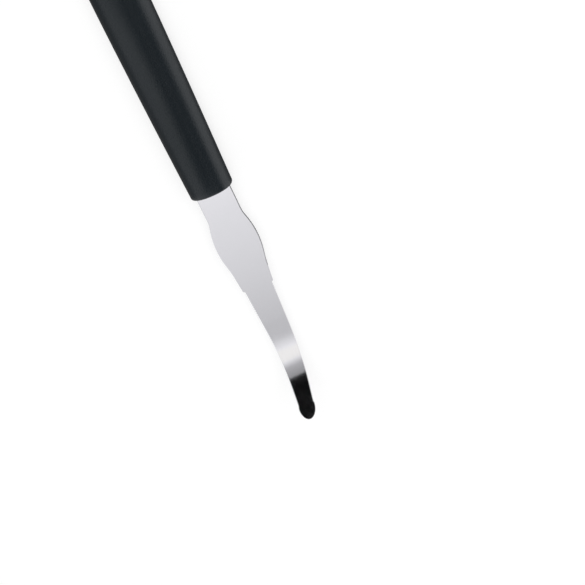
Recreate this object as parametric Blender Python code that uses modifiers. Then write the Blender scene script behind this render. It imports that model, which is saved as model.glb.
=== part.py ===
"""Grapefruit knife: a serrated, double-edged blade with an upturned tip, in a moulded handle.

Lengths run along +X from the handle's front face to the tip.
+Y is across the blade and +Z points out of the blade's concave side.
"""

import math

import bmesh
import bpy

MM = 0.001

# Blade blank, measured along the flat sheet from the handle's front face
SHEET = 1.4 * MM
NECK_HALF = 7.65 * MM
BULGE_HALF = 9.55 * MM
BULGE_AT = 25.5 * MM
BULGE_RADIUS = 36 * MM
BULGE_FAIRING = 0.5 * MM
SHANK_END = 46.5 * MM
SHANK_END_HALF = 7.0 * MM
SHANK_SLOPE = 0.1
SHANK_CURVES_FROM = 11 * MM
FLAT_STEP = 1.2 * MM
EDGE_BREAK = 0.12 * MM
BLADE_SHARP_DEGREES = 12

# Serrated length
TEETH_FROM = 47.5 * MM
TOOTH_PITCH = 1.0 * MM
TOOTH_DEPTH = 0.5 * MM
TOOTH_COUNT = 58
CUTTING_HALF = 6.55 * MM
CUTTING_SLOPE = 0.0495
BLADE_LENGTH = 112 * MM
TIP_LENGTH = 5.5 * MM
TIP_STEPS = 9
TIP_GRIND = 2.4 * MM
GRIND_SHARE = 0.45
GRIND_FROM = 37 * MM
GRIND_RUN_OUT = 7 * MM
CUTTING_EDGE = 0.15 * MM

# Upturned tip
BEND_FROM = 67.7 * MM
BEND_RADIUS = 32 * MM
BEND_ANGLE = math.radians(50)

# Tang and the gap that the handle keeps round it
TANG_LENGTH = 72 * MM
TANG_HALF = 5.0 * MM
TANG_NOSE_CHAMFER = 1.5 * MM
SHOULDER_FROM = 4.0 * MM
SHOULDER_RUN = 2.5 * MM
SHOULDER_STEPS = 5
TANG_HOLES = (22 * MM, 54 * MM)
TANG_HOLE_RADIUS = 2.4 * MM
TANG_HOLE_SIDES = 24
PUNCH_LENGTH = 6 * MM
CORE_LENGTH = 12 * MM
FIT_GAP = 0.3 * MM
POCKET_OVERSHOOT = 1.0 * MM

# Handle, measured back from its front face
HANDLE_LENGTH = 116 * MM
FRONT_HALF_WIDTH = 9.4 * MM
FULL_HALF_WIDTH = 11.4 * MM
LEVEL_HALF_HEIGHT = 8.8 * MM
END_HALF_HEIGHT = 7.4 * MM
FULLEST_AT = 96 * MM
LEVEL_TO = 80 * MM
BELLY_POWER = 1.4
SECTION_POWER = 2.25
SECTION_SIDES = 40
RIM_FILLET = 0.9 * MM
RIM_STEPS = 5
BODY_STEPS = 18
BUTT_LENGTH = 17 * MM
BUTT_DEPTH = 11 * MM
BUTT_POWER = 2.5
BUTT_STEPS = 11
HANDLE_SHARP_DEGREES = 40

# Hanging hole through the butt
HOLE_FROM_END = 11.5 * MM
HOLE_RADIUS = 4.0 * MM
HOLE_FLARE = 1.8 * MM
HOLE_MOUTH_RISE = 0.2 * MM
FLARE_STEPS = 5
HOLE_SIDES = 32
POLE_MERGE = 0.01 * MM


def clear_scene():
    for found in list(bpy.data.objects):
        bpy.data.objects.remove(found, do_unlink=True)


def new_collection(name):
    made = bpy.data.collections.new(name)
    bpy.context.scene.collection.children.link(made)
    return made


def finish(name, colour, roughness, metallic):
    made = bpy.data.materials.new(name)
    made.use_nodes = True
    shader = made.node_tree.nodes["Principled BSDF"]
    shader.inputs["Base Color"].default_value = (*colour, 1)
    shader.inputs["Roughness"].default_value = roughness
    shader.inputs["Metallic"].default_value = metallic
    return made


def ease(share):
    """A smooth step from 0 to 1."""
    share = min(max(share, 0), 1)
    return share * share * (3 - 2 * share)


def mix(low, high, share):
    return low + (high - low) * share


def fair_max(a, b, fairing):
    """The larger of two heights, with the corner where they cross rounded off."""
    overlap = max(fairing - abs(a - b), 0) / fairing
    return max(a, b) + overlap * overlap * fairing / 4


def loft(name, rings, collection):
    """A closed skin through rings of equal count, with a flat face over each end."""
    skin = bmesh.new()
    loops = [[skin.verts.new(point) for point in ring] for ring in rings]
    for near, far in zip(loops, loops[1:]):
        for i in range(len(near)):
            j = (i + 1) % len(near)
            skin.faces.new((near[i], near[j], far[j], far[i]))
    skin.faces.new(loops[0])
    skin.faces.new(loops[-1])
    bmesh.ops.recalc_face_normals(skin, faces=skin.faces)
    mesh = bpy.data.meshes.new(name)
    skin.to_mesh(mesh)
    skin.free()
    made = bpy.data.objects.new(name, mesh)
    collection.objects.link(made)
    return made


def peg(name, radius, height, place, collection):
    """A round post along Z."""
    post = bmesh.new()
    bmesh.ops.create_cone(
        post, cap_ends=True, segments=TANG_HOLE_SIDES, radius1=radius, radius2=radius, depth=height
    )
    mesh = bpy.data.meshes.new(name)
    post.to_mesh(mesh)
    post.free()
    made = bpy.data.objects.new(name, mesh)
    made.location = place
    collection.objects.link(made)
    return made


def cut(target, cutter):
    trim = target.modifiers.new(cutter.name, "BOOLEAN")
    trim.operation = "DIFFERENCE"
    trim.object = cutter
    cutter.hide_render = True
    cutter.display_type = "WIRE"


def smooth(target, sharp_degrees):
    target.data.shade_smooth()
    target.data.set_sharp_from_angle(angle=math.radians(sharp_degrees))


def bend(along, across, height):
    """Carries a point of the flat blade round the bend that lifts the tip."""
    turn = min(max(along - BEND_FROM, 0) / BEND_RADIUS, BEND_ANGLE)
    beyond = max(along - BEND_FROM - BEND_RADIUS * BEND_ANGLE, 0)
    inner = BEND_RADIUS - height
    x = min(along, BEND_FROM) + inner * math.sin(turn) + beyond * math.cos(turn)
    z = BEND_RADIUS - inner * math.cos(turn) + beyond * math.sin(turn)
    return (x, across, z)


def shank_half(along):
    """Half the blank's width up to the teeth: straight sides with the bulge's arc standing on them."""
    if along < BULGE_AT:
        sides = NECK_HALF
    else:
        sides = SHANK_END_HALF + SHANK_SLOPE * (SHANK_END - along)
    bulge = BULGE_HALF - (along - BULGE_AT) ** 2 / (2 * BULGE_RADIUS)
    return fair_max(sides, bulge, BULGE_FAIRING)


def cutting_half(along):
    """Half the width over the tooth points: a straight taper closed by half an ellipse at the tip."""
    taper = CUTTING_HALF - CUTTING_SLOPE * (along - SHANK_END)
    past = max(along - (BLADE_LENGTH - TIP_LENGTH), 0) / TIP_LENGTH
    return taper * math.sqrt(max(1 - past * past, 0))


def tang_stations():
    """Places along the tang, from its nose to the neck, with the half width at each."""
    nose = TANG_HALF - TANG_NOSE_CHAMFER
    yield -TANG_LENGTH, nose
    yield TANG_NOSE_CHAMFER - TANG_LENGTH, TANG_HALF
    for step in range(SHOULDER_STEPS + 1):
        share = step / SHOULDER_STEPS
        along = -SHOULDER_FROM - SHOULDER_RUN * (1 - share)
        yield along, mix(TANG_HALF, NECK_HALF, ease(share))


def shank_stations():
    count = round((SHANK_END - SHANK_CURVES_FROM) / FLAT_STEP)
    for step in range(count + 1):
        along = mix(SHANK_CURVES_FROM, SHANK_END, step / count)
        yield along, shank_half(along)


def cutting_stations():
    """Gullet and point of every tooth, then the smooth round of the tip."""
    for tooth in range(TOOTH_COUNT):
        gullet = TEETH_FROM + tooth * TOOTH_PITCH
        point = gullet + TOOTH_PITCH / 2
        yield gullet, cutting_half(gullet) - TOOTH_DEPTH
        yield point, cutting_half(point)
    round_from = TEETH_FROM + TOOTH_COUNT * TOOTH_PITCH
    yield round_from, cutting_half(round_from) - TOOTH_DEPTH / 2
    for step in range(1, TIP_STEPS):
        swing = math.pi / 2 * step / TIP_STEPS
        along = mix(round_from, BLADE_LENGTH, math.sin(swing))
        yield along, cutting_half(along)


def blade_ring(along, half):
    """One section of the blade: square at the shank, ground from the convex side where it cuts.

    The grind starts on the shank, before the teeth, and goes on round the tip, where the sheet itself
    thins to the cutting edge.
    """
    ground = ease((along - GRIND_FROM) / GRIND_RUN_OUT)
    top = SHEET / 2
    edge = top - mix(SHEET - EDGE_BREAK, CUTTING_EDGE, ground)
    foot = mix(half - EDGE_BREAK, cutting_half(along) * (1 - GRIND_SHARE), ground)
    thick = min(mix(CUTTING_EDGE, SHEET, (BLADE_LENGTH - along) / TIP_GRIND), SHEET)
    right = [(half, top), (half, edge), (foot, top - thick)]
    left = [(-across, height) for across, height in reversed(right)]
    return [bend(along, across, height) for across, height in right + left]


def make_blade(parts, cutters):
    stations = [*tang_stations(), *shank_stations(), *cutting_stations()]
    blade = loft("blade", [blade_ring(*station) for station in stations], parts)
    for number, back in enumerate(TANG_HOLES, 1):
        place = (-back, 0, 0)
        cut(blade, peg(f"tang_punch_{number}", TANG_HOLE_RADIUS, PUNCH_LENGTH, place, cutters))
    smooth(blade, BLADE_SHARP_DEGREES)
    blade.data.materials.append(finish("brushed_steel", (0.62, 0.62, 0.63), 0.28, 1.0))
    return blade


def pocket_ring(along, half):
    """One section of the room for the tang: the tang's own section with the fit gap all round."""
    wide = half + FIT_GAP
    high = SHEET / 2 + FIT_GAP
    return [(along, y, z) for y, z in ((wide, high), (wide, -high), (-wide, -high), (-wide, high))]


def make_tang_pocket(cutters):
    """The room for the tang, with two pegs left standing in it to pass through the tang's holes."""
    stations = list(tang_stations())
    rings = [pocket_ring(-TANG_LENGTH - FIT_GAP, stations[0][1])]
    rings += [pocket_ring(*station) for station in stations[1:]]
    rings.append(pocket_ring(POCKET_OVERSHOOT, NECK_HALF))
    pocket = loft("tang_pocket", rings, cutters)
    for number, back in enumerate(TANG_HOLES, 1):
        place = (-back, 0, 0)
        core_radius = TANG_HOLE_RADIUS - FIT_GAP
        cut(pocket, peg(f"pocket_core_{number}", core_radius, CORE_LENGTH, place, cutters))
    return pocket


def make_hanging_hole(cutters):
    """A turned spool: straight in the middle, flared where it meets the butt's two faces."""
    mouth = END_HALF_HEIGHT + HOLE_MOUTH_RISE
    profile = [(HOLE_RADIUS + HOLE_FLARE, 2 * mouth), (HOLE_RADIUS + HOLE_FLARE, mouth)]
    for step in range(1, FLARE_STEPS + 1):
        swing = math.pi / 2 * step / FLARE_STEPS
        radius = HOLE_RADIUS + HOLE_FLARE * (1 - math.sin(swing))
        profile.append((radius, mouth - HOLE_FLARE * (1 - math.cos(swing))))
    profile += [(radius, -height) for radius, height in reversed(profile)]
    mesh = bpy.data.meshes.new("hanging_hole")
    points = [(0, 0, 2 * mouth)] + [(r, 0, z) for r, z in profile] + [(0, 0, -2 * mouth)]
    mesh.from_pydata(points, [(i, i + 1) for i in range(len(points) - 1)], [])
    spool = bpy.data.objects.new("hanging_hole", mesh)
    spool.location = (HOLE_FROM_END - HANDLE_LENGTH, 0, 0)
    cutters.objects.link(spool)
    turn = spool.modifiers.new("turn", "SCREW")
    turn.axis = "Z"
    turn.steps = turn.render_steps = HOLE_SIDES
    turn.use_merge_vertices = True
    turn.merge_threshold = POLE_MERGE
    return spool


def butt_round(from_end, length):
    """How much of its full size the handle has, this far from its end, as its edge rolls over."""
    share = min(from_end / length, 1)
    return (1 - (1 - share) ** BUTT_POWER) ** (1 / BUTT_POWER)


def handle_size(back):
    """Half the width and half the height of the handle, this far behind its front face.

    Seen from the side its top and bottom run level from the front to the butt,
    so that the knife lies still on a table.
    """
    belly = 1 - max(1 - back / FULLEST_AT, 0) ** BELLY_POWER
    width = mix(FRONT_HALF_WIDTH, FULL_HALF_WIDTH, belly)
    fall = ease((back - LEVEL_TO) / (HANDLE_LENGTH - LEVEL_TO))
    height = mix(LEVEL_HALF_HEIGHT, END_HALF_HEIGHT, fall)
    from_end = HANDLE_LENGTH - back
    return width * butt_round(from_end, BUTT_LENGTH), height * butt_round(from_end, BUTT_DEPTH)


def handle_ring(back, inset=0):
    """One oval section: a circle pressed a little towards a rectangle, with a side flat on the floor."""
    width, height = (size - inset for size in handle_size(back))
    ring = []
    for side in range(SECTION_SIDES):
        angle = 2 * math.pi * (side + 0.5) / SECTION_SIDES
        across = math.copysign(abs(math.cos(angle)) ** (2 / SECTION_POWER), math.cos(angle))
        up = math.copysign(abs(math.sin(angle)) ** (2 / SECTION_POWER), math.sin(angle))
        ring.append((-back, width * across, height * up))
    return ring


def make_handle(parts, cutters):
    rings = []
    for step in range(RIM_STEPS + 1):
        swing = math.pi / 2 * step / RIM_STEPS
        rings.append(handle_ring(RIM_FILLET * (1 - math.cos(swing)), RIM_FILLET * (1 - math.sin(swing))))
    body_end = HANDLE_LENGTH - BUTT_LENGTH
    for step in range(1, BODY_STEPS + 1):
        rings.append(handle_ring(mix(RIM_FILLET, body_end, step / BODY_STEPS)))
    for step in range(1, BUTT_STEPS):
        swing = math.pi / 2 * step / BUTT_STEPS
        rings.append(handle_ring(body_end + BUTT_LENGTH * math.sin(swing)))
    handle = loft("handle", rings, parts)
    cut(handle, make_tang_pocket(cutters))
    cut(handle, make_hanging_hole(cutters))
    smooth(handle, HANDLE_SHARP_DEGREES)
    handle.data.materials.append(finish("black_plastic", (0.022, 0.024, 0.026), 0.5, 0.0))
    return handle


def stand_on_floor(collections, pieces):
    """Puts the knife's lowest point on the floor and the middle of its length over the origin."""
    corners = [vertex.co for piece in pieces for vertex in piece.data.vertices]
    middle = (min(c.x for c in corners) + max(c.x for c in corners)) / 2
    knife = bpy.data.objects.new("knife", None)
    knife.location = (-middle, 0, -min(c.z for c in corners))
    collections[0].objects.link(knife)
    for collection in collections:
        for member in collection.objects:
            if member is not knife:
                member.parent = knife


def main():
    clear_scene()
    parts = new_collection("grapefruit_knife")
    cutters = new_collection("cutters")
    blade = make_blade(parts, cutters)
    handle = make_handle(parts, cutters)
    stand_on_floor((parts, cutters), (blade, handle))
    bpy.context.view_layer.update()


main()
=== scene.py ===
# %% [markdown]
# # A grapefruit knife
# The real knife has two pieces. A steel blade is stamped from sheet, ground, toothed along both sides and
# bent up at its tip. A black plastic handle is then moulded round the blade's tang. Both come here as plain
# solids of the right size, in one frame, with the knife lying on its handle and its concave face up. The
# lesson gives them their finished shapes and surfaces, a camera and light.

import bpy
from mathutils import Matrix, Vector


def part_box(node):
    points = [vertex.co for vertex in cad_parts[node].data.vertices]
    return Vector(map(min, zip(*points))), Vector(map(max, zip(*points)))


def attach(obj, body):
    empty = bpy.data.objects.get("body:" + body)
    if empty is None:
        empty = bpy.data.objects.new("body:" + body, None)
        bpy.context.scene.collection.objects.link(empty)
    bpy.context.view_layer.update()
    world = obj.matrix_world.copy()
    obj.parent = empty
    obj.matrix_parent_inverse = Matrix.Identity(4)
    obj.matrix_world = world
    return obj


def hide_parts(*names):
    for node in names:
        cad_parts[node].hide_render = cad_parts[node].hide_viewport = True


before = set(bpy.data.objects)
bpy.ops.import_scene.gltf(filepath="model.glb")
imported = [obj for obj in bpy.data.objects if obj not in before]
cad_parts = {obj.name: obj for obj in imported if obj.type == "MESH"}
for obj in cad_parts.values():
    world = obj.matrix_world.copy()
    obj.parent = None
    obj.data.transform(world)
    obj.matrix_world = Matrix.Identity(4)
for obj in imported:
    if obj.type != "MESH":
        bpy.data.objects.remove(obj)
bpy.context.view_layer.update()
print("solids:", sorted(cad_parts))

# %% [markdown]
# ## One origin for everything
# Lengths on a knife are measured from where the blade leaves the handle, so both finished pieces are drawn
# from that point: the middle of the handle's front face. It could be typed in, but reading it from the
# solids keeps the two models together if the solids change.

# %% Origin of the knife
import math

import bmesh
import bpy
from mathutils import Matrix, Vector

MM = 0.001

handle_low, handle_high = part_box("handle")
ORIGIN = Vector((handle_high.x, 0, (handle_low.z + handle_high.z) / 2))
print("the blade leaves the handle at", [round(value / MM, 2) for value in ORIGIN], "mm")

# %% [markdown]
# ## Camera
# The picture looks down on the concave face from high behind the handle, and a little from the right. The
# camera could be aimed by eye. Here it is worked out instead from how the knife sits in the picture: which
# way the tip points there, how far it leans away, how far the blade is rolled, and which pixel the origin
# falls on. A long lens from 0.9 m gives the picture's weak perspective.

# %% Camera
IMAGE_SIZE = 585
ORIGIN_PIXEL = (212.2, 190.3)
PIXELS_PER_METRE = 2400
VIEW_DISTANCE = 0.9
TIP_TURN = math.radians(25.5)
TIP_LEAN = math.radians(20)
BLADE_ROLL = math.radians(10)


def add_object(name, data):
    """A new object in the scene, at the origin."""
    made = bpy.data.objects.new(name, data)
    bpy.context.scene.collection.objects.link(made)
    return made


def aim_camera():
    """Writes the knife's axes as the camera sees them, and places the camera from those."""
    turn_sin, turn_cos = math.sin(TIP_TURN), math.cos(TIP_TURN)
    lean_sin, lean_cos = math.sin(TIP_LEAN), math.cos(TIP_LEAN)
    to_tip = Vector((turn_sin * lean_cos, -turn_cos * lean_cos, -lean_sin))
    level = Vector((turn_cos, turn_sin, 0))
    facing = Vector((lean_sin * turn_sin, -lean_sin * turn_cos, lean_cos))
    across = level * math.cos(BLADE_ROLL) + facing * math.sin(BLADE_ROLL)
    axes = Matrix((to_tip, across, to_tip.cross(across)))
    right = (ORIGIN_PIXEL[0] - IMAGE_SIZE / 2) / PIXELS_PER_METRE
    up = (IMAGE_SIZE / 2 - ORIGIN_PIXEL[1]) / PIXELS_PER_METRE
    place = ORIGIN + axes @ Vector((-right, -up, VIEW_DISTANCE))
    camera = add_object("camera", bpy.data.cameras.new("camera"))
    camera.matrix_world = Matrix.Translation(place) @ axes.to_4x4()
    camera.data.sensor_fit = "HORIZONTAL"
    camera.data.angle = 2 * math.atan(IMAGE_SIZE / 2 / (PIXELS_PER_METRE * VIEW_DISTANCE))
    bpy.context.scene.camera = camera
    return camera


view = aim_camera()
bpy.context.scene.view_settings.view_transform = "Standard"
print("camera at", [round(value, 3) for value in view.location], "m")

# %% [markdown]
# ## The blade follows a rule
# Everything about the blade can be written as a rule along its length: straight sides with a bulge standing
# on them, then a taper with teeth cut into it, ground thin from the back, and a bend near the tip. A mesh
# could be pushed about by hand, but 58 teeth a side would take a long time. So a plain tube of faces is made
# first, and Geometry Nodes move each of its points by the rule. The sizes are the tree's named inputs.

# %% Blade sizes
BLADE = {
    "Sheet thickness": 1.4 * MM,
    "Tang length": 72 * MM,
    "Tang half width": 5.0 * MM,
    "Tang nose": 1.5 * MM,
    "Shoulder start": -6.5 * MM,
    "Shoulder end": -4.0 * MM,
    "Neck half width": 7.65 * MM,
    "Bulge half width": 9.55 * MM,
    "Bulge place": 25.5 * MM,
    "Bulge radius": 36 * MM,
    "Bulge fairing": 0.75 * MM,
    "Shank end": 46.5 * MM,
    "Shank end half width": 7.0 * MM,
    "Shank slope": 0.1,
    "First gullet": 47.5 * MM,
    "Tooth pitch": 1.0 * MM,
    "Tooth depth": 0.5 * MM,
    "Tooth count": 58,
    "Cutting half width": 6.55 * MM,
    "Cutting slope": 0.0495,
    "Blade length": 112 * MM,
    "Tip length": 5.5 * MM,
    "Tip grind": 2.4 * MM,
    "Grind share": 0.45,
    "Grind start": 37 * MM,
    "Grind run-out": 7 * MM,
    "Cutting edge": 0.15 * MM,
    "Shank edge round": 0.08 * MM,
    "Cutting edge round": 0.03 * MM,
    "Bend start": 67.7 * MM,
    "Bend radius": 32 * MM,
    "Bend angle": math.radians(50),
    "Peg hole radius": 2.4 * MM,
    "First peg hole": -22 * MM,
    "Peg hole spacing": -32 * MM,
}
print(len(BLADE), "sizes drive the blade")

# %% [markdown]
# ## A section as a recipe
# Cut across, the blade is a flat face, a small round, a side, a ground slope and a flat back. Each point of
# that section is some share of a few lengths that change along the blade: its half width, the foot of the
# grind and the radius of the edge. Storing those shares on the points lets the tree stretch one section into
# all the others. Extra points close to each corner keep the flats flat when they are shaded smooth.

# %% Blade section
# Across as shares of half width, grind foot and edge round, then depth below the concave face as shares of
# edge round, cutting edge and sheet, then the masks of worn edge and ground slope. The middle of a quarter
# round lies 0.293 of its radius in from both sides.
SECTION = (
    ((0, 0, 0), (0, 0, 0), 0, 0),
    ((1, 0, -4), (0, 0, 0), 0, 0),
    ((1, 0, -1), (0, 0, 0), 1, 0),
    ((1, 0, -0.293), (0.293, 0, 0), 1, 0),
    ((1, 0, 0), (1, 0, 0), 1, 0),
    ((1, 0, 0), (0.7, 0.3, 0), 0, 0),
    ((1, 0, 0), (0.3, 0.7, 0), 0, 0),
    ((1, 0, 0), (0, 1, 0), 1, 1),
    ((0.94, 0.06, 0), (0, 0.94, 0.06), 0, 1),
    ((0.06, 0.94, 0), (0, 0.06, 0.94), 0, 1),
    ((0, 1, 0), (0, 0, 1), 0, 1),
    ((0, 0.92, 0), (0, 0, 1), 0, 0),
    ((0, 0, 0), (0, 0, 1), 0, 0),
)


def whole_section():
    """The right half of the section, then its mirror image back to the start."""
    right = list(SECTION)
    left = [((-a, -b, -c), depth, worn, ground) for (a, b, c), depth, worn, ground in SECTION[-2:0:-1]]
    return right + left


print(len(whole_section()), "points round the blade")

# %% [markdown]
# ## The tube of faces
# The tube needs columns where the outline turns: few along the straight tang, many along the teeth, and more
# and more towards the round tip, where a sine spaces them by angle. Even columns would do as well, but the
# whole blade would then need as many as the teeth do.

# %% Columns along the blade
CURVES_FROM = 11 * MM
SHOULDER_COLUMNS = 10
PLAIN_COLUMNS = 4
CURVE_STEPS = 90
STEPS_PER_TOOTH = 10
TIP_STEPS = 22
TIP_LAST_ANGLE = math.radians(86)


def steps(start, end, count):
    """Even steps from start, leaving out the end itself."""
    return [start + (end - start) * step / count for step in range(count)]


def blade_columns():
    """Places along the blade, from the tang's end to just short of the tip."""
    size = BLADE
    teeth_end = size["First gullet"] + (size["Tooth count"] - 0.5) * size["Tooth pitch"]
    tooth_steps = round((size["Tooth count"] - 0.5) * STEPS_PER_TOOTH)
    round_start = size["Blade length"] - size["Tip length"]
    columns = [-size["Tang length"]]
    columns += [size["Tang nose"] - size["Tang length"]]
    columns += steps(size["Shoulder start"], size["Shoulder end"], SHOULDER_COLUMNS)
    columns += steps(size["Shoulder end"], CURVES_FROM, PLAIN_COLUMNS)
    columns += steps(CURVES_FROM, size["Shank end"], CURVE_STEPS)
    columns += steps(size["Shank end"], size["First gullet"], STEPS_PER_TOOTH)
    columns += steps(size["First gullet"], teeth_end, tooth_steps)
    columns += steps(teeth_end, round_start, PLAIN_COLUMNS)
    for step in range(TIP_STEPS + 1):
        columns.append(round_start + size["Tip length"] * math.sin(TIP_LAST_ANGLE * step / TIP_STEPS))
    return columns


print(len(blade_columns()), "columns along the blade")

# %% Blade tube
def add_attribute(mesh, name, kind, values):
    """Stores one value for each point of a mesh."""
    made = mesh.attributes.new(name, kind, "POINT")
    field = "vector" if kind == "FLOAT_VECTOR" else "value"
    flat = [part for value in values for part in value] if field == "vector" else values
    made.data.foreach_set(field, flat)


def make_tube():
    """Every section still a single point on the axis, carrying its recipe."""
    columns, section = blade_columns(), whole_section()
    around = len(section)
    points = [(along, 0, 0) for along in columns for _ in section]
    faces = [tuple(range(around)), tuple(range(len(points) - 1, len(points) - 1 - around, -1))]
    for column in range(len(columns) - 1):
        for row in range(around):
            here, beside = column * around + row, column * around + (row + 1) % around
            faces.append((here, here + around, beside + around, beside))
    mesh = bpy.data.meshes.new("serrated_blade")
    mesh.from_pydata(points, [], faces)
    for number, name in enumerate(("across_recipe", "depth_recipe")):
        add_attribute(mesh, name, "FLOAT_VECTOR", [row[number] for _ in columns for row in section])
    for number, name in enumerate(("worn", "ground"), 2):
        add_attribute(mesh, name, "FLOAT", [float(row[number]) for _ in columns for row in section])
    return add_object("serrated_blade", mesh)


blade_tube = make_tube()
print(len(blade_tube.data.polygons), "faces in the tube")

# %% [markdown]
# ## Arithmetic as nodes
# A rule in Geometry Nodes is a chain of Math nodes, and wiring them one at a time hides the formula. This
# small class stands for a socket. Adding, multiplying or easing it adds the node and the links, so the rule
# below reads like the sum that it is.

# %% Rule class
class Rule:
    """A number that each point works out for itself."""

    def __init__(self, tree, socket):
        self.tree = tree
        self.socket = socket

    def math(self, operation, *others):
        node = self.tree.nodes.new("ShaderNodeMath")
        node.operation = operation
        for slot, value in zip(node.inputs, (self, *others)):
            self.feed(slot, value)
        return Rule(self.tree, node.outputs[0])

    def feed(self, slot, value):
        if isinstance(value, Rule):
            self.tree.links.new(value.socket, slot)
        else:
            slot.default_value = value

    def __add__(self, other):
        return self.math("ADD", other)

    def __sub__(self, other):
        return self.math("SUBTRACT", other)

    def __mul__(self, other):
        return self.math("MULTIPLY", other)

    def __truediv__(self, other):
        return self.math("DIVIDE", other)

    def __neg__(self):
        return self.math("MULTIPLY", -1)

    def least(self, other):
        return self.math("MINIMUM", other)

    def most(self, other):
        return self.math("MAXIMUM", other)

    def towards(self, other, share):
        """This number blended into another."""
        return self + (other - self) * share

    def ease(self, start, end):
        """A smooth step from 0 at start to 1 at end."""
        node = self.tree.nodes.new("ShaderNodeMapRange")
        node.interpolation_type = "SMOOTHSTEP"
        for slot, value in zip(node.inputs, (self, start, end)):
            self.feed(slot, value)
        return Rule(self.tree, node.outputs["Result"])


def new_tree(name, sizes):
    """A Geometry Nodes tree with a mesh in, a mesh out and one named number in for each size."""
    tree = bpy.data.node_groups.new(name, "GeometryNodeTree")
    tree.interface.new_socket("Geometry", in_out="INPUT", socket_type="NodeSocketGeometry")
    tree.interface.new_socket("Geometry", in_out="OUTPUT", socket_type="NodeSocketGeometry")
    for size in sizes:
        tree.interface.new_socket(size, in_out="INPUT", socket_type="NodeSocketFloat")
    source = tree.nodes.new("NodeGroupInput")
    return tree, source, {size: Rule(tree, source.outputs[size]) for size in sizes}


blade_tree, blade_source, size = new_tree("blade rule", BLADE)
print(len(size), "named inputs")

# %% [markdown]
# ## Width of the blade
# The shank's straight sides and the bulge's arc meet in a Smooth Maximum, which rounds the corners between
# them as the stamping die does. A drawn curve could give the outline too, but here each size stays a number
# that can be changed. The cutting length tapers, and its square root closes the tip in half an ellipse. At
# the other end the tang steps in behind the handle's front face, where it isn't seen.

# %% Blade width rule
position = blade_tree.nodes.new("GeometryNodeInputPosition")
split = blade_tree.nodes.new("ShaderNodeSeparateXYZ")
blade_tree.links.new(position.outputs[0], split.inputs[0])
along = Rule(blade_tree, split.outputs["X"])

past_bulge = along.math("GREATER_THAN", size["Bulge place"])
tapering = size["Shank end half width"] + size["Shank slope"] * (size["Shank end"] - along)
sides = size["Neck half width"].towards(tapering, past_bulge)
from_bulge = along - size["Bulge place"]
bulge = size["Bulge half width"] - from_bulge * from_bulge / (size["Bulge radius"] * 2)
shank = sides.math("SMOOTH_MAX", bulge, size["Bulge fairing"])

shoulder = along.ease(size["Shoulder start"], size["Shoulder end"])
stepped = shank + (size["Tang half width"] - size["Neck half width"]) * (-shoulder + 1)
nose = size["Tang half width"] - size["Tang nose"] + along + size["Tang length"]
shank_half = stepped.least(nose)

into_tip = (along - size["Blade length"] + size["Tip length"]).most(0) / size["Tip length"]
taper = size["Cutting half width"] - size["Cutting slope"] * (along - size["Shank end"])
cutting_half = taper * (-into_tip * into_tip + 1).math("SQRT")
print(len(blade_tree.nodes), "nodes so far")

# %% [markdown]
# ## Teeth
# Each gullet between two teeth is a shallow scallop left by a small grinding wheel. A Boolean could cut each
# one, but slowly, 116 times. A parabola that repeats with the pitch makes them all: deepest in the middle of
# the gullet and meeting the next one in a point.

# %% Blade teeth rule
tooth_place = ((along - size["First gullet"]) / size["Tooth pitch"]).most(0)
tooth_place = tooth_place.least(size["Tooth count"] - 0.5)
from_gullet = ((tooth_place + 0.5).math("FRACT") - 0.5) * 2
scallop = size["Tooth depth"] * (-from_gullet * from_gullet + 1)
toothed = along.ease(size["Shank end"], size["First gullet"])
half = shank_half.towards(cutting_half - scallop, toothed)
print(len(blade_tree.nodes), "nodes so far")

# %% [markdown]
# ## Section and bend
# The sheet is ground thin from its back. The grind runs out on the shank, before the teeth, and goes round
# the tip. The recipe turns those lengths into a point of the flat blade. Then the flat blade is rolled round
# a cylinder to lift the tip, which keeps its length along the metal. A Simple Deform modifier could bend it
# too, but a rule in the same tree has exactly the solid's radius and angle.

# %% Blade section rule
ground = along.ease(size["Grind start"], size["Grind start"] + size["Grind run-out"])
edge_round = size["Shank edge round"].towards(size["Cutting edge round"], ground)
blunt = size["Sheet thickness"] - size["Shank edge round"]
edge_depth = blunt.towards(size["Cutting edge"], ground)
foot = (half - size["Shank edge round"]).towards(cutting_half * (-size["Grind share"] + 1), ground)
to_end = (size["Blade length"] - along) / size["Tip grind"]
thick = size["Cutting edge"].towards(size["Sheet thickness"], to_end)
sheet_depth = thick.math("SMOOTH_MIN", size["Sheet thickness"], size["Cutting edge"])


def dot_with_recipe(name, *lengths):
    """The stored shares of a point, each times its length, added up."""
    recipe = blade_tree.nodes.new("GeometryNodeInputNamedAttribute")
    recipe.data_type = "FLOAT_VECTOR"
    recipe.inputs["Name"].default_value = name
    joined = blade_tree.nodes.new("ShaderNodeCombineXYZ")
    for slot, length in zip(joined.inputs, lengths):
        blade_tree.links.new(length.socket, slot)
    dot = blade_tree.nodes.new("ShaderNodeVectorMath")
    dot.operation = "DOT_PRODUCT"
    blade_tree.links.new(recipe.outputs["Attribute"], dot.inputs[0])
    blade_tree.links.new(joined.outputs[0], dot.inputs[1])
    return Rule(blade_tree, dot.outputs["Value"])


across = dot_with_recipe("across_recipe", half, foot, edge_round)
depth = dot_with_recipe("depth_recipe", edge_round, edge_depth, sheet_depth)
height = size["Sheet thickness"] * 0.5 - depth

bent = (along - size["Bend start"]).most(0) / size["Bend radius"]
turn = bent.least(size["Bend angle"])
beyond = (bent - turn) * size["Bend radius"]
inner = size["Bend radius"] - height
bent_x = along.least(size["Bend start"]) + inner * turn.math("SINE") + beyond * turn.math("COSINE")
bent_z = size["Bend radius"] - inner * turn.math("COSINE") + beyond * turn.math("SINE")
print(len(blade_tree.nodes), "nodes so far")

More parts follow.
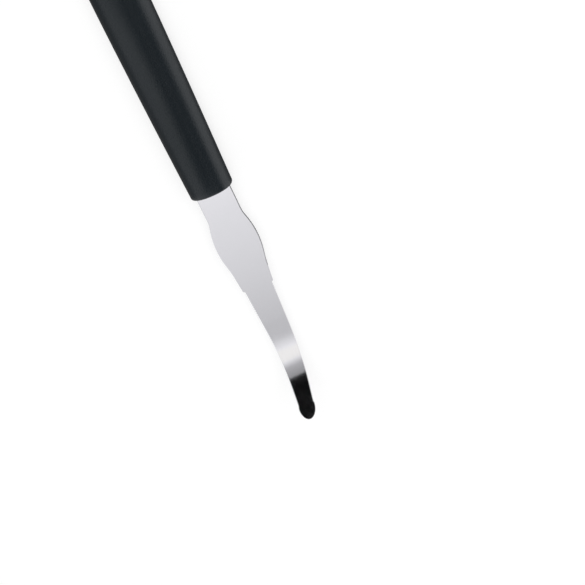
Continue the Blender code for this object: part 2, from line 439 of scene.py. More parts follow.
# %% [markdown]
# ## Finishing the tree
# The tree stores how far along and across the metal each point lies, because the brushed finish follows the
# metal round the bend. Two round holes repeat along the tang, where plastic pegs lock it, so one punch is
# placed on two points and cut away. Realize Instances and Set Material end the tree, because a finished
# model keeps plain meshes only.

# %% Places of the points
def chain(tree, geometry, kind, **settings):
    """Adds a node that takes a mesh and hands a mesh on."""
    node = tree.nodes.new(kind)
    for name, value in settings.items():
        setattr(node, name, value)
    tree.links.new(geometry, node.inputs["Geometry"])
    return node


def store(tree, geometry, name, rule):
    """Keeps a rule's number on each point under a name."""
    node = chain(tree, geometry, "GeometryNodeStoreNamedAttribute", data_type="FLOAT")
    node.inputs["Name"].default_value = name
    tree.links.new(rule.socket, node.inputs["Value"])
    return node.outputs["Geometry"]


def place_points(tree, geometry, x, y, z):
    """Moves each point to where three rules say, measured from the knife's origin."""
    node = chain(tree, geometry, "GeometryNodeSetPosition")
    joined = tree.nodes.new("ShaderNodeCombineXYZ")
    for slot, rule, start in zip(joined.inputs, (x, y, z), ORIGIN):
        tree.links.new((rule + start).socket, slot)
    tree.links.new(joined.outputs[0], node.inputs["Position"])
    return node.outputs["Geometry"]


shaped = blade_source.outputs["Geometry"]
for name, rule in (("along", along), ("across", across)):
    shaped = store(blade_tree, shaped, name, rule)
shaped = place_points(blade_tree, shaped, bent_x, across, bent_z)
print(len(blade_tree.nodes), "nodes so far")

# %% Peg holes
PEGS = 2
PUNCH_SIDES = 48
PUNCH_REACH = 3


def punches(tree):
    """Cylinders through the tang, as instances on the points of a line."""
    line = tree.nodes.new("GeometryNodeMeshLine")
    line.inputs["Count"].default_value = PEGS
    for name, rule in (("Start Location", size["First peg hole"]), ("Offset", size["Peg hole spacing"])):
        joined = tree.nodes.new("ShaderNodeCombineXYZ")
        start = ORIGIN if name == "Start Location" else Vector()
        tree.links.new((rule + start.x).socket, joined.inputs["X"])
        joined.inputs["Z"].default_value = start.z
        tree.links.new(joined.outputs[0], line.inputs[name])
    punch = tree.nodes.new("GeometryNodeMeshCylinder")
    punch.inputs["Vertices"].default_value = PUNCH_SIDES
    tree.links.new(size["Peg hole radius"].socket, punch.inputs["Radius"])
    tree.links.new((size["Sheet thickness"] * PUNCH_REACH).socket, punch.inputs["Depth"])
    placed = tree.nodes.new("GeometryNodeInstanceOnPoints")
    tree.links.new(line.outputs["Mesh"], placed.inputs["Points"])
    tree.links.new(punch.outputs["Mesh"], placed.inputs["Instance"])
    return placed.outputs["Instances"]


punched = blade_tree.nodes.new("GeometryNodeMeshBoolean")
punched.operation = "DIFFERENCE"
blade_tree.links.new(shaped, punched.inputs["Mesh 1"])
blade_tree.links.new(punches(blade_tree), punched.inputs["Mesh 2"])
print(PEGS, "holes,", len(blade_tree.nodes), "nodes so far")

# %% Blade mesh
BLADE_SHARP_ANGLE = math.radians(50)


def end_tree(tree, geometry, material):
    """Plain meshes out, with their material."""
    realized = chain(tree, geometry, "GeometryNodeRealizeInstances")
    painted = chain(tree, realized.outputs["Geometry"], "GeometryNodeSetMaterial")
    painted.inputs["Material"].default_value = material
    result = tree.nodes.new("NodeGroupOutput")
    tree.links.new(painted.outputs["Geometry"], result.inputs[0])


def keep_result(target, modifier):
    """Makes what a modifier gives the object's own mesh, and removes the modifier."""
    evaluated = target.evaluated_get(bpy.context.evaluated_depsgraph_get())
    mesh = bpy.data.meshes.new_from_object(evaluated)
    target.modifiers.remove(modifier)
    target.data = mesh
    mesh.name = target.name


def grow(target, tree, values):
    """Runs a tree on an object with these inputs and keeps the result as a plain mesh."""
    modifier = target.modifiers.new(tree.name, "NODES")
    modifier.node_group = tree
    for item in tree.interface.items_tree:
        if item.in_out == "INPUT" and item.name in values:
            modifier[item.identifier] = float(values[item.name])
    keep_result(target, modifier)
    return target


steel = bpy.data.materials.new("blade_steel")
end_tree(blade_tree, punched.outputs["Mesh"], steel)
blade = grow(blade_tube, blade_tree, BLADE)
blade.data.shade_smooth()
blade.data.set_sharp_from_angle(angle=BLADE_SHARP_ANGLE)
print(len(blade.data.polygons), "faces in the blade,", [a.name for a in blade.data.attributes])

# %% [markdown]
# ## Handle
# The handle is one moulded piece. Cut across, it is a soft-cornered oval that widens towards the butt, with
# a small round on the rim at its front. Subdivision of a coarse cage could give a similar shape, but a
# formula for the half width and half height keeps it exactly on the solid. Its half height comes from the
# frame, so the finished handle lies on the floor as the solid does.

# %% Handle sizes
HANDLE_LENGTH = 116 * MM
FRONT_HALF_WIDTH = 9.4 * MM
FULL_HALF_WIDTH = 11.4 * MM
WIDEST_AT = 96 * MM
SWELL_POWER = 1.4
LEVEL_HALF_HEIGHT = ORIGIN.z
END_HALF_HEIGHT = 7.4 * MM
LEVEL_TO = 80 * MM
BUTT_LENGTH = 17 * MM
BUTT_DEPTH = 11 * MM
BUTT_POWER = 2.5
SECTION_POWER = 2.25


def mix(start, end, share):
    return start + (end - start) * share


def ease(share):
    share = min(max(share, 0), 1)
    return share * share * (3 - 2 * share)


def butt_round(from_end, length):
    """The share of the full size that is left near the rounded end."""
    share = min(max(from_end / length, 0), 1)
    return (1 - (1 - share) ** BUTT_POWER) ** (1 / BUTT_POWER)


def half_width(back):
    swell = 1 - max(1 - back / WIDEST_AT, 0) ** SWELL_POWER
    return mix(FRONT_HALF_WIDTH, FULL_HALF_WIDTH, swell) * butt_round(HANDLE_LENGTH - back, BUTT_LENGTH)


def half_height(back):
    falling = ease((back - LEVEL_TO) / (HANDLE_LENGTH - LEVEL_TO))
    return mix(LEVEL_HALF_HEIGHT, END_HALF_HEIGHT, falling) * butt_round(HANDLE_LENGTH - back, BUTT_DEPTH)


def section_point(back, angle, inset=0.0):
    """A point of the handle's section, this far behind the front face."""
    power = 2 / SECTION_POWER
    cosine, sine = math.cos(angle), math.sin(angle)
    y = (half_width(back) - inset) * math.copysign(abs(cosine) ** power, cosine)
    z = (half_height(back) - inset) * math.copysign(abs(sine) ** power, sine)
    return ORIGIN + Vector((-back, y, z))


for back in (0, LEVEL_TO, WIDEST_AT):
    print(round(back / MM), "mm back:", round(half_width(back) / MM, 2), round(half_height(back) / MM, 2))

# %% [markdown]
# ## Sleeve of the handle
# From the front face to where the butt begins, the handle is a loft: rings of points with faces between
# them. Sweeping one section along a curve is quicker, but this section changes all the way. The first rings
# roll over the rim in a quarter circle, and one more ring just inside it keeps the front face flat when it
# is shaded smooth.

# %% Handle sleeve
SECTION_STEPS = 96
RIM_ROUND = 0.9 * MM
RIM_STEPS = 8
RIM_HOLD = 0.1 * MM
BODY_RINGS = 60
BUTT_FROM = 94 * MM


def handle_ring(back, inset=0.0):
    return [section_point(back, math.tau * step / SECTION_STEPS, inset) for step in range(SECTION_STEPS)]


def sleeve_rings():
    rings = [handle_ring(0, RIM_ROUND + RIM_HOLD)]
    for step in range(RIM_STEPS):
        swing = math.pi / 2 * step / RIM_STEPS
        rings.append(handle_ring(RIM_ROUND * (1 - math.cos(swing)), RIM_ROUND * (1 - math.sin(swing))))
    rings += [handle_ring(mix(RIM_ROUND, BUTT_FROM, step / BODY_RINGS)) for step in range(BODY_RINGS + 1)]
    return rings


def bridge(shape, rows, closed):
    """Faces between rows of points, each row as long as the next."""
    made = [[shape.verts.new(point) for point in row] for row in rows]
    for near, far in zip(made, made[1:]):
        last = len(near) if closed else len(near) - 1
        for step in range(last):
            beside = (step + 1) % len(near)
            shape.faces.new((near[step], near[beside], far[beside], far[step]))
    return made


handle_shape = bmesh.new()
sleeve = bridge(handle_shape, sleeve_rings(), closed=True)
handle_shape.faces.new(sleeve[0])
print(len(handle_shape.faces), "faces in the sleeve")

# %% [markdown]
# ## Butt with its hanging hole
# The butt rounds off in plan and from the side, and a hole goes through it with a rounded mouth on both
# faces. A Boolean cut would leave long thin faces and a hard edge. Here the faces run in rays instead, from
# the hole's wall out to the edge of the butt, and the first steps of each ray roll over the mouth.

# %% Edge of the butt
END_STEPS = 40
STRAIGHT_STEPS = 3


def butt_side():
    """The right edge of the butt seen from above, as places back and out, from its start to the end."""
    places = steps(BUTT_FROM, HANDLE_LENGTH - BUTT_LENGTH, STRAIGHT_STEPS)
    for step in range(END_STEPS + 1):
        angle = math.pi / 2 * (1 - step / END_STEPS)
        places.append(HANDLE_LENGTH - BUTT_LENGTH * (1 - math.cos(angle) ** (2 / BUTT_POWER)))
    return [(back, half_width(back)) for back in places]


def butt_edge():
    """Where the upper half of the butt ends: across the handle, then round its end."""
    half_turn = SECTION_STEPS // 2
    edge = [section_point(BUTT_FROM, math.pi * step / half_turn) - ORIGIN for step in range(half_turn + 1)]
    side = butt_side()
    edge += [Vector((-back, -out, 0)) for back, out in side[1:]]
    edge += [Vector((-back, out, 0)) for back, out in reversed(side[1:-1])]
    return edge


print(len(butt_edge()), "points round the butt")

# %% Butt and hole
HOLE_FROM_END = 11.5 * MM
HOLE_RADIUS = 4.0 * MM
HOLE_ROUND = 1.8 * MM
HOLE_STEPS = 8
RAY_STEPS = 14
WALL_LEVELS = (1, 0.4, -0.4, -1)
MERGE = 0.001 * MM


def surface_height(x, y):
    """How far the butt's upper surface is above the middle of the handle."""
    wide = max(half_width(-x), MERGE)
    share = min(abs(y) / wide, 1)
    return half_height(-x) * (1 - share ** SECTION_POWER) ** (1 / SECTION_POWER)


def ray(edge_point):
    """Points from the hole's wall to a point of the edge, over the mouth and along the surface."""
    centre = Vector((HOLE_FROM_END - HANDLE_LENGTH, 0, 0))
    out = (edge_point - centre) * Vector((1, 1, 0))
    mouth = HOLE_RADIUS + HOLE_ROUND
    places = []
    for step in range(HOLE_STEPS + 1):
        swing = math.pi / 2 * step / HOLE_STEPS
        places.append((mouth - HOLE_ROUND * math.cos(swing), HOLE_ROUND * (1 - math.sin(swing))))
    for step in range(1, RAY_STEPS):
        places.append((mix(mouth, out.length, 1 - (1 - step / RAY_STEPS) ** 2), 0))
    points = []
    for radius, drop in places:
        place = centre + out.normalized() * radius
        points.append(Vector((place.x, place.y, surface_height(place.x, place.y) - drop)))
    return points + [edge_point]


def add_butt(shape):
    """Both halves of the butt and the wall of the hole, joined to the sleeve."""
    rays = [ray(point) for point in butt_edge()]
    rays.append(rays[0])
    for level in (1, -1):
        bridge(shape, [[ORIGIN + p * Vector((1, 1, level)) for p in row] for row in rays], closed=False)
    walls = [[ORIGIN + row[0] * Vector((1, 1, level)) for level in WALL_LEVELS] for row in rays]
    bridge(shape, walls, closed=False)
    bmesh.ops.remove_doubles(shape, verts=shape.verts, dist=MERGE)
    bmesh.ops.recalc_face_normals(shape, faces=shape.faces)


add_butt(handle_shape)
open_edges = [edge for edge in handle_shape.edges if not edge.is_manifold]
print(len(handle_shape.faces), "faces in the handle,", len(open_edges), "open edges")

# %% [markdown]
# ## Slot for the tang
# The plastic was moulded round the tang, so the slot in the handle is the tang's own outline, and two pegs
# of plastic fill the tang's holes. A Boolean is the plain way to take one solid out of another where the
# edges are meant to be hard. The hair's breadth of room keeps the faces of plastic and steel apart.

# %% Outline of the slot
TANG_ROOM = 0.05 * MM
SLOT_LEAD = 1.0 * MM
SHOULDER_STEPS = 8


def slot_side():
    """The right edge of the slot, from in front of the handle to its blind end."""
    neck = BLADE["Neck half width"] + TANG_ROOM
    tang = BLADE["Tang half width"] + TANG_ROOM
    end = -BLADE["Tang length"] - TANG_ROOM
    side = [(SLOT_LEAD, neck)]
    for step in range(SHOULDER_STEPS + 1):
        share = step / SHOULDER_STEPS
        place = mix(BLADE["Shoulder end"], BLADE["Shoulder start"], share)
        side.append((place, mix(neck, tang, ease(share))))
    return side + [(end + BLADE["Tang nose"], tang), (end, tang - BLADE["Tang nose"])]


print(len(slot_side()), "points along each side of the slot")

# %% Cut the slot
HANDLE_SHARP_ANGLE = math.radians(40)


def finish_shape(shape, name):
    """Makes an object of a shape that is still being edited."""
    mesh = bpy.data.meshes.new(name)
    shape.to_mesh(mesh)
    shape.free()
    return add_object(name, mesh)


def slot_cutter():
    """The slot as a solid: its outline, lifted through the sheet's thickness."""
    side, deep = slot_side(), BLADE["Sheet thickness"] / 2 + TANG_ROOM
    outline = side + [(x, -y) for x, y in reversed(side)]
    shape = bmesh.new()
    floor_face = shape.faces.new([shape.verts.new(ORIGIN + Vector((x, y, -deep))) for x, y in outline])
    lifted = bmesh.ops.extrude_face_region(shape, geom=[floor_face])["geom"]
    raised = [part for part in lifted if isinstance(part, bmesh.types.BMVert)]
    bmesh.ops.translate(shape, verts=raised, vec=(0, 0, 2 * deep))
    bmesh.ops.recalc_face_normals(shape, faces=shape.faces)
    return finish_shape(shape, "slot_cutter")


def peg(place):
    shape = bmesh.new()
    radius = BLADE["Peg hole radius"] - TANG_ROOM
    bmesh.ops.create_cone(shape, cap_ends=True, segments=PUNCH_SIDES, radius1=radius, radius2=radius,
                          depth=BLADE["Sheet thickness"] * PUNCH_REACH)
    bmesh.ops.translate(shape, verts=shape.verts, vec=ORIGIN + Vector((place, 0, 0)))
    return finish_shape(shape, "peg")


def cut(target, cutter):
    """Takes one solid out of another and removes the cutter."""
    modifier = target.modifiers.new("cut", "BOOLEAN")
    modifier.operation = "DIFFERENCE"
    modifier.object = cutter
    keep_result(target, modifier)
    bpy.data.objects.remove(cutter)


handle = finish_shape(handle_shape, "moulded_handle")
slot = slot_cutter()
for number in range(PEGS):
    cut(slot, peg(BLADE["First peg hole"] + number * BLADE["Peg hole spacing"]))
cut(handle, slot)
handle.data.shade_smooth()
handle.data.set_sharp_from_angle(angle=HANDLE_SHARP_ANGLE)
print(len(handle.data.polygons), "faces in the handle with its slot")

# %% [markdown]
# ## Where hands and hooks rub
# Rims get polished: the handle's front edge and the mouth of its hole. A mask for that could be painted by
# hand. Here each point is given one number from its own place, and the material reads it as an attribute.

# %% Rub mask of the handle
RUB_FADE = 1.2 * MM


def rub(place):
    """1 on a rubbed rim, fading to 0 away from it."""
    local = place - ORIGIN
    from_front = -local.x - RIM_ROUND
    from_hole = math.hypot(local.x + HANDLE_LENGTH - HOLE_FROM_END, local.y) - HOLE_RADIUS - HOLE_ROUND
    return 1 - ease(max(min(from_front, from_hole), 0) / RUB_FADE)


add_attribute(handle.data, "worn", "FLOAT", [rub(vertex.co) for vertex in handle.data.vertices])
print("rubbed points:", sum(1 for value in handle.data.attributes["worn"].data if value.value > 0.5))

# %% [markdown]
# ## Shared effects
# Two effects serve both materials, so each is a node group with named inputs. Grain is a fine noise that can
# be stretched: even on moulded plastic, drawn out along the blade on brushed steel. Handling marks are broad
# and faint, and change the gloss a little from place to place, as on anything that has been wiped dry.

# %% Grain group
GRAIN_DETAIL = 2.5
GRAIN_ROUGHNESS = 0.6


def new_group(name, inputs, outputs):
    """An empty shader group with named sockets, and its two end nodes."""
    group = bpy.data.node_groups.new(name, "ShaderNodeTree")
    for socket, kind in inputs.items():
        group.interface.new_socket(socket, in_out="INPUT", socket_type=kind)
    for socket, kind in outputs.items():
        group.interface.new_socket(socket, in_out="OUTPUT", socket_type=kind)
    return group, group.nodes.new("NodeGroupInput"), group.nodes.new("NodeGroupOutput")


def make_grain_group():
    """Noise on a place that is stretched first."""
    sockets = {"Place": "NodeSocketVector", "Stretch": "NodeSocketVector", "Fineness": "NodeSocketFloat"}
    group, source, result = new_group("grain", sockets, {"Grain": "NodeSocketFloat"})
    stretched = group.nodes.new("ShaderNodeVectorMath")
    stretched.operation = "MULTIPLY"
    noise = group.nodes.new("ShaderNodeTexNoise")
    noise.inputs["Detail"].default_value = GRAIN_DETAIL
    noise.inputs["Roughness"].default_value = GRAIN_ROUGHNESS
    group.links.new(source.outputs["Place"], stretched.inputs[0])
    group.links.new(source.outputs["Stretch"], stretched.inputs[1])
    group.links.new(stretched.outputs[0], noise.inputs["Vector"])
    group.links.new(source.outputs["Fineness"], noise.inputs["Scale"])
    group.links.new(noise.outputs[0], result.inputs["Grain"])
    return group


grain_group = make_grain_group()
print(grain_group.name, "has", len(grain_group.nodes), "nodes")

# %% Handling marks group
MARKS_DETAIL = 4


def make_marks_group():
    """Roughness that varies about a value and changes on worn places."""
    sockets = {"Place": "NodeSocketVector", "Breadth": "NodeSocketFloat", "Gloss": "NodeSocketFloat",
               "Spread": "NodeSocketFloat", "Worn": "NodeSocketFloat", "Worn gloss": "NodeSocketFloat"}
    group, source, result = new_group("handling marks", sockets, {"Roughness": "NodeSocketFloat"})
    scale = group.nodes.new("ShaderNodeMath")
    scale.operation = "DIVIDE"
    scale.inputs[0].default_value = 1
    noise = group.nodes.new("ShaderNodeTexNoise")
    noise.inputs["Detail"].default_value = MARKS_DETAIL
    group.links.new(source.outputs["Breadth"], scale.inputs[1])
    group.links.new(source.outputs["Place"], noise.inputs["Vector"])
    group.links.new(scale.outputs[0], noise.inputs["Scale"])
    noisy = Rule(group, noise.outputs[0]) - 0.5
    rough = Rule(group, source.outputs["Gloss"]) + noisy * Rule(group, source.outputs["Spread"])
    worn = rough.towards(Rule(group, source.outputs["Worn gloss"]), Rule(group, source.outputs["Worn"]))
    group.links.new(worn.socket, result.inputs["Roughness"])
    return group


marks_group = make_marks_group()
print(marks_group.name, "has", len(marks_group.nodes), "nodes")

# %% [markdown]
# ## Steel
# The blade is bright stainless, brushed so finely along its length that the lines hardly show, and the
# grinding marks on its bevels run across. A picture of brushed metal could be wrapped round it, but noise
# that is drawn out one way needs none and stays sharp close up. The lines follow the metal round the bend,
# so they read how far along and across the blade a point is, and not its place in space.

# %% Brushed lines
BRUSH_FINENESS = 5000
BRUSH_STRETCH = (0.03, 1, 1)
GROUND_STRETCH = (1, 0.05, 1)


def place_group(material, group, links, values):
    """Puts a group in a material, linked and set by the names of its inputs."""
    node = material.node_tree.nodes.new("ShaderNodeGroup")
    node.node_tree = group
    for name, socket in links.items():
        material.node_tree.links.new(socket, node.inputs[name])
    for name, value in values.items():
        node.inputs[name].default_value = value
    return node


def attribute(material, name):
    """A number that is stored on the points of a mesh."""
    node = material.node_tree.nodes.new("ShaderNodeAttribute")
    node.attribute_name = name
    return node.outputs["Fac"]


def metal_place(material):
    """How far along and across the metal a point lies."""
    joined = material.node_tree.nodes.new("ShaderNodeCombineXYZ")
    for slot, name in zip(joined.inputs, ("along", "across")):
        material.node_tree.links.new(attribute(material, name), slot)
    return joined.outputs[0]


def brushed_lines(material, place):
    """Lines along the flats that turn across on the ground bevels."""
    lines = []
    for stretch in (BRUSH_STRETCH, GROUND_STRETCH):
        grain = place_group(material, grain_group, {"Place": place},
                            {"Stretch": stretch, "Fineness": BRUSH_FINENESS})
        lines.append(Rule(material.node_tree, grain.outputs["Grain"]))
    return lines[0].towards(lines[1], Rule(material.node_tree, attribute(material, "ground")))


steel.use_nodes = True
steel_place = metal_place(steel)
steel_lines = brushed_lines(steel, steel_place)
print(steel.name, "has", len(steel.node_tree.nodes), "nodes so far")

# %% Steel material
STEEL_DARK = (0.602, 0.598, 0.626)
STEEL_LIGHT = (0.662, 0.658, 0.691)
STEEL_ROUGHNESS = 0.12
STEEL_SPREAD = 0.05
STEEL_WORN = 0.10
STEEL_BREADTH = 9 * MM
BRUSH_RISE = 0.0015 * MM


def bump(material, height, rise):
    """A bump this many metres high, on the material's own normal."""
    node = material.node_tree.nodes.new("ShaderNodeBump")
    node.inputs["Distance"].default_value = rise
    material.node_tree.links.new(height, node.inputs["Height"])
    return node.outputs["Normal"]


def tint(material, share, dark, light):
    """A colour between two others."""
    node = material.node_tree.nodes.new("ShaderNodeMix")
    node.data_type = "RGBA"
    material.node_tree.links.new(share, node.inputs["Factor"])
    node.inputs["A"].default_value = (*dark, 1)
    node.inputs["B"].default_value = (*light, 1)
    return node.outputs["Result"]


def finish_steel(material, place, lines):
    links = material.node_tree.links
    shader = material.node_tree.nodes["Principled BSDF"]
    shader.inputs["Metallic"].default_value = 1
    marks = place_group(material, marks_group, {"Place": place, "Worn": attribute(material, "worn")},
                        {"Breadth": STEEL_BREADTH, "Gloss": STEEL_ROUGHNESS, "Spread": STEEL_SPREAD,
                         "Worn gloss": STEEL_WORN})
    links.new(tint(material, lines.socket, STEEL_DARK, STEEL_LIGHT), shader.inputs["Base Color"])
    links.new(marks.outputs["Roughness"], shader.inputs["Roughness"])
    links.new(bump(material, lines.socket, BRUSH_RISE), shader.inputs["Normal"])


finish_steel(steel, steel_place, steel_lines)
print(steel.name, "has", len(steel.node_tree.nodes), "nodes")

# %% [markdown]
# ## Plastic
# The handle is black plastic with the fine grain of an etched mould, and a soft sheen. Pits in the mesh
# would take millions of faces, so a bump gives them, fainter where the rim is rubbed. Object coordinates are
# enough here, because the grain has no direction.

# %% Plastic material
PLASTIC_DARK = (0.0046, 0.0086, 0.0117)
PLASTIC_LIGHT = (0.0072, 0.0116, 0.0155)
PLASTIC_ROUGHNESS = 0.42
PLASTIC_IOR = 1.45
PLASTIC_SPREAD = 0.06
PLASTIC_WORN = 0.34
PLASTIC_FINENESS = 1600
PLASTIC_RISE = 0.13 * MM
RUB_SMOOTHING = 0.7
PLASTIC_BREADTH = 14 * MM


def make_plastic(material):
    material.use_nodes = True
    nodes, links = material.node_tree.nodes, material.node_tree.links
    shader = nodes["Principled BSDF"]
    shader.inputs["IOR"].default_value = PLASTIC_IOR
    place = nodes.new("ShaderNodeTexCoord").outputs["Object"]
    worn = attribute(material, "worn")
    grain = place_group(material, grain_group, {"Place": place},
                        {"Stretch": (1, 1, 1), "Fineness": PLASTIC_FINENESS})
    marks = place_group(material, marks_group, {"Place": place, "Worn": worn},
                        {"Breadth": PLASTIC_BREADTH, "Gloss": PLASTIC_ROUGHNESS, "Spread": PLASTIC_SPREAD,
                         "Worn gloss": PLASTIC_WORN})
    pits = Rule(material.node_tree, grain.outputs["Grain"])
    pits = pits * (Rule(material.node_tree, worn) * -RUB_SMOOTHING + 1)
    colour = tint(material, grain.outputs["Grain"], PLASTIC_DARK, PLASTIC_LIGHT)
    links.new(colour, shader.inputs["Base Color"])
    links.new(marks.outputs["Roughness"], shader.inputs["Roughness"])
    links.new(bump(material, pits.socket, PLASTIC_RISE), shader.inputs["Normal"])


plastic = bpy.data.materials.new("handle_plastic")
make_plastic(plastic)
handle.data.materials.clear()
handle.data.materials.append(plastic)
print(plastic.name, "has", len(plastic.node_tree.nodes), "nodes")

# %% [markdown]
# ## Floor and light
# The knife lies on a white sweep. The floor's own colour carries the shadow, and rays from the camera, or
# ones mirrored in the steel, see some added white, so the ground is white in the picture without more light
# falling on the knife. Farther off, where less lamplight falls, more white is added. A brighter lamp would
# whiten the floor too, but the knife with it. One large lamp overhead and a grey sky light it softly.

# %% Floor
FLOOR_SIZE = 8.0
FLOOR_DROP = 0.1 * MM
FLOOR_COLOUR = 0.3
FLOOR_GLOW = 0.72
FLOOR_GLOW_FAR = 1.0
FLOOR_GLOW_RUN = (0.4, 1.4)
WHITE_RAYS = ("Is Camera Ray", "Is Glossy Ray", "Is Transmission Ray")


def sees_white(tree):
    """1 for the rays that see the added white."""
    node = tree.nodes.new("ShaderNodeLightPath")
    first, *others = [Rule(tree, node.outputs[name]) for name in WHITE_RAYS]
    for other in others:
        first = first.most(other)
    return first


def staged(name, corners, faces, material):
    """A piece of the set, given by its corners and faces."""
    mesh = bpy.data.meshes.new(name)
    mesh.from_pydata(corners, [], faces)
    mesh.materials.append(material)
    made = add_object(name, mesh)
    return made


def empty_material(name):
    material = bpy.data.materials.new(name)
    material.use_nodes = True
    material.node_tree.nodes.remove(material.node_tree.nodes["Principled BSDF"])
    return material, material.node_tree.nodes["Material Output"].inputs["Surface"]


def make_floor():
    material, surface = empty_material("white_sweep")
    tree = material.node_tree
    matt = tree.nodes.new("ShaderNodeBsdfDiffuse")
    matt.inputs["Color"].default_value = (FLOOR_COLOUR, FLOOR_COLOUR, FLOOR_COLOUR, 1)
    glow = tree.nodes.new("ShaderNodeEmission")
    spot = tree.nodes.new("ShaderNodeTexCoord")
    away = tree.nodes.new("ShaderNodeVectorMath")
    away.operation = "LENGTH"
    tree.links.new(spot.outputs["Object"], away.inputs[0])
    far = Rule(tree, away.outputs["Value"]).ease(*FLOOR_GLOW_RUN)
    added = far * (FLOOR_GLOW_FAR - FLOOR_GLOW) + FLOOR_GLOW
    tree.links.new((sees_white(tree) * added).socket, glow.inputs["Strength"])
    both = tree.nodes.new("ShaderNodeAddShader")
    tree.links.new(matt.outputs[0], both.inputs[0])
    tree.links.new(glow.outputs[0], both.inputs[1])
    tree.links.new(both.outputs[0], surface)
    reach = FLOOR_SIZE / 2
    corners = [(x, y, -FLOOR_DROP) for x in (-reach, reach) for y in (-reach, reach)]
    return staged("floor", corners, [(0, 2, 3, 1)], material)


floor = make_floor()
print(floor.name, "is", FLOOR_SIZE, "m wide")

# %% Lamp and sky
LAMP_SIZE = 1.4
LAMP_PLACE = Vector((-0.3, 0.25, 1.6))
LAMP_POWER = 20
SKY_GREY = 0.42


def make_lamp():
    data = bpy.data.lights.new("overhead_lamp", "AREA")
    data.size = LAMP_SIZE
    data.energy = LAMP_POWER
    lamp = add_object("overhead_lamp", data)
    aim = LAMP_PLACE.to_track_quat("Z", "Y").to_matrix().to_4x4()
    lamp.matrix_world = Matrix.Translation(LAMP_PLACE) @ aim
    lamp.visible_glossy = False
    return lamp


def make_sky():
    world = bpy.data.worlds.new("grey_studio")
    world.use_nodes = True
    tree = world.node_tree
    sky = tree.nodes["Background"]
    tree.links.new((sees_white(tree) * (1 - SKY_GREY) + SKY_GREY).socket, sky.inputs["Strength"])
    sky.inputs["Color"].default_value = (1, 1, 1, 1)
    bpy.context.scene.world = world


lamp = make_lamp()
make_sky()
print(lamp.name, "has", LAMP_POWER, "W")

# %% [markdown]
# ## Cards for the blade
# Bright metal has no colour of its own to show: it shows what stands round it. So a photographer places
# cards. A curtain in front, shaded from bottom to top, gives the flat of the blade its long gradient. A
# ceiling behind it gives the bend its bright bar and its grey band, and the upturned tip mirrors the black
# cards beyond. Lamps could do that too, but they would also light the floor and the handle. These cards are
# seen by mirrored rays only. Each one is a strip of faces whose light is an attribute of its corners.

# %% Curtain
# Cards are placed in millimetres, in the frame that the solids share. A row of the curtain has its place
# along the knife, its height and its light.
CEILING = 164
CURTAIN_LEFT = -48
CURTAIN_RIGHT = 8
CURTAIN = ((83, 42, 0.81), (83, 70, 0.88), (81, 102, 0.97), (74, 125, 1.05), (60, CEILING, 1.16))
WHITE = (1, 1, 1)


def card(name, rows, colour=WHITE):
    """A card that only mirrored rays see, from rows of two corners and a light."""
    corners = [Vector(corner) * MM for *pair, light in rows for corner in pair]
    lights = [light for *pair, light in rows for corner in pair]
    faces = [(start, start + 2, start + 3, start + 1) for start in range(0, len(corners) - 2, 2)]
    material, surface = empty_material(name)
    links = material.node_tree.links
    glow = material.node_tree.nodes.new("ShaderNodeEmission")
    glow.inputs["Color"].default_value = (*colour, 1)
    links.new(attribute(material, "light"), glow.inputs["Strength"])
    links.new(glow.outputs[0], surface)
    made = staged(name, corners, faces, material)
    add_attribute(made.data, "light", "FLOAT", lights)
    made.visible_camera = False
    made.visible_diffuse = False
    made.visible_shadow = False
    made.visible_transmission = False
    return made


curtain_rows = [((along, CURTAIN_LEFT, height), (along, CURTAIN_RIGHT, height), light)
                for along, height, light in CURTAIN]
curtain = card("curtain", curtain_rows)
print(curtain.name, "has", len(curtain.data.polygons), "faces")

# %% Ceiling
# A stop has its place along the knife and its light.
CEILING_LEFT = -85
CEILING_RIGHT = -6
CEILING_MIDDLE = -32
CEILING_FRONT = ((60, 1.16), (47, 1.29))
BAR = ((12, 1.31), (-5, 1.26))
BAR_COLOUR = (1.01, 1.0, 0.955)
BAND = ((-5, 1.26), (-30, 0.78), (-44, 0.61), (-96, 0.48))
BAND_SLANT = 0.8
BAND_END = (-123, 0.48)
BAND_END_SLANT = 1.5


def level(height, left, right, stops):
    """Rows of a level card, from stops of a place along the knife and a light."""
    return [((along, left, height), (along, right, height), light) for along, light in stops]


def slanting(along, light, slant=BAND_SLANT):
    """A row of the ceiling that runs back towards the left."""
    sides = (CEILING_LEFT, CEILING_RIGHT)
    ends = [(along + slant * (side - CEILING_MIDDLE), side, CEILING) for side in sides]
    return (*ends, light)


front_rows = level(CEILING, CEILING_LEFT, CEILING_RIGHT, CEILING_FRONT)
bar_rows = front_rows[-1:] + [slanting(*stop) for stop in BAR]
band_rows = [slanting(*stop) for stop in BAND] + [slanting(*BAND_END, BAND_END_SLANT)]
ceiling = [
    card("ceiling_front", front_rows),
    card("bar_card", bar_rows, BAR_COLOUR),
    card("band_card", band_rows),
]
print("the ceiling has", len(ceiling), "cards")

# %% Cards farther off
LEFT_STOPS = ((-85, 1.35), (-70, 1.35), (8, 0.35), (30, 0.30), (54, 1.25), (190, 1.25))
FAR_STOPS = ((110, 0.4), (330, 0.75), (560, 1.25), (900, 1.25))
END_PLACE = -450
END_SIDES = (-380, -20)
END_HEIGHT = 160


def even(light, back, front):
    """The two stops of a card with the same light all over."""
    return ((back, light), (front, light))


def upright(side, low, high, stops):
    """Rows of a card that stands beside the knife."""
    return [((along, side, low), (along, side, high), light) for along, light in stops]


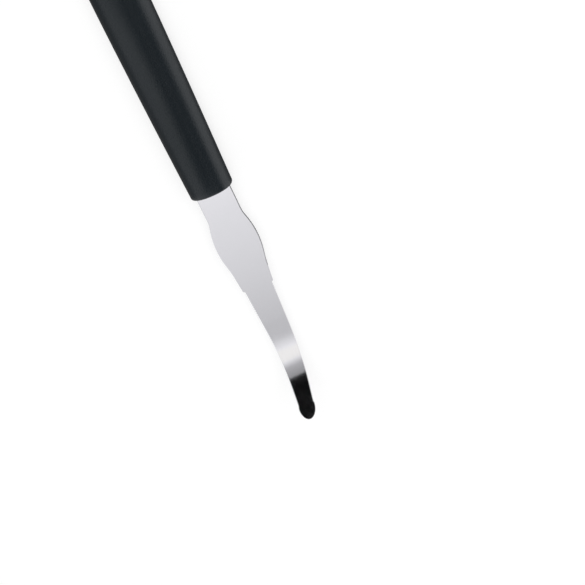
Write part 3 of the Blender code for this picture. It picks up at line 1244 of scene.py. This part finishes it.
farther = [
    card("front_card", level(height=CEILING + 6, left=-60, right=8,
                             stops=even(light=0.78, back=60, front=230))),
    card("back_card", level(height=CEILING + 4, left=-190, right=-20,
                            stops=even(light=0, back=-1300, front=-60))),
    card("left_card", level(height=110, left=-190, right=-48, stops=LEFT_STOPS)),
    card("far_card", level(height=300, left=30, right=900, stops=FAR_STOPS)),
    card("edge_card", upright(side=-120, low=0, high=110, stops=even(light=1.15, back=52, front=180))),
    card("end_card", [((END_PLACE, side, 0), (END_PLACE, side, END_HEIGHT), 0) for side in END_SIDES]),
]
print(len(farther), "cards stand farther off")

# %% [markdown]
# ## Cards for the handle
# Satin plastic mirrors too, but softly. A long light strip on the right draws the highlight along that side.
# Small dark cards close over the crown and beside both flanks keep the rest black. A dark sheet on the floor
# under and round the handle is partly painted shade of the handle, as its lower sides mirror the floor, and
# partly a darker floor farther out. A black one under the blade's right side is painted shadow of the blade,
# which its thickness mirrors as a dark line. A darker world could do it, but the steel would darken with it.

# %% Cards round the handle
# The crown's card has its place along and left edge, the flank's the places of its low and high corners.
HANDLE_REAR = -105
CROWN = ((HANDLE_REAR, -2.8), (-40, -2.8), (11, -6.5))
CROWN_RIGHT = 4.5
CROWN_HEIGHT = 30
FLANK = ((HANDLE_REAR, HANDLE_REAR), (14, 30))
FLANK_SIDE = 14
FLANK_LOW = 20
FLANK_HIGH = 80
FLOOR_LEVEL = -FLOOR_DROP / MM / 2

crown_rows = [((along, left, CROWN_HEIGHT), (along, CROWN_RIGHT, CROWN_HEIGHT), 0) for along, left in CROWN]
flank_rows = [((low, FLANK_SIDE, FLANK_LOW), (high, FLANK_SIDE, FLANK_HIGH), 0) for low, high in FLANK]
around = [
    card("side_strip", upright(side=190, low=0, high=110, stops=even(light=1.45, back=-1300, front=190))),
    card("crown_card", crown_rows),
    card("handle_card", flank_rows),
    card("left_wall", upright(side=-14, low=0, high=18.5,
                              stops=even(light=0.25, back=HANDLE_REAR, front=9))),
    # Near the handle this dark sheet is painted shade of the handle on the floor, as its lower sides mirror
    # it; farther out it only darkens the mirrored floor.
    card("floor_card", level(height=FLOOR_LEVEL, left=-190, right=25,
                             stops=even(light=0.12, back=-190, front=12))),
    # A black sheet on the floor under the blade's right side: painted shadow of the blade, mirrored by its
    # side face as a dark line.
    card("blade_shadow_card", level(height=FLOOR_LEVEL, left=7, right=18, stops=even(light=0, back=12, front=50))),
]
print(len(around), "cards stand round the handle")

# %% [markdown]
# ## Hand over
# Each finished piece rides on the knife's one body and takes the place of its solid.

# %% Hand over the pieces
for piece, node, finish in ((blade, "blade", "blade_steel"), (handle, "handle", "handle_plastic")):
    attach(piece, "root")
    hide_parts(node)
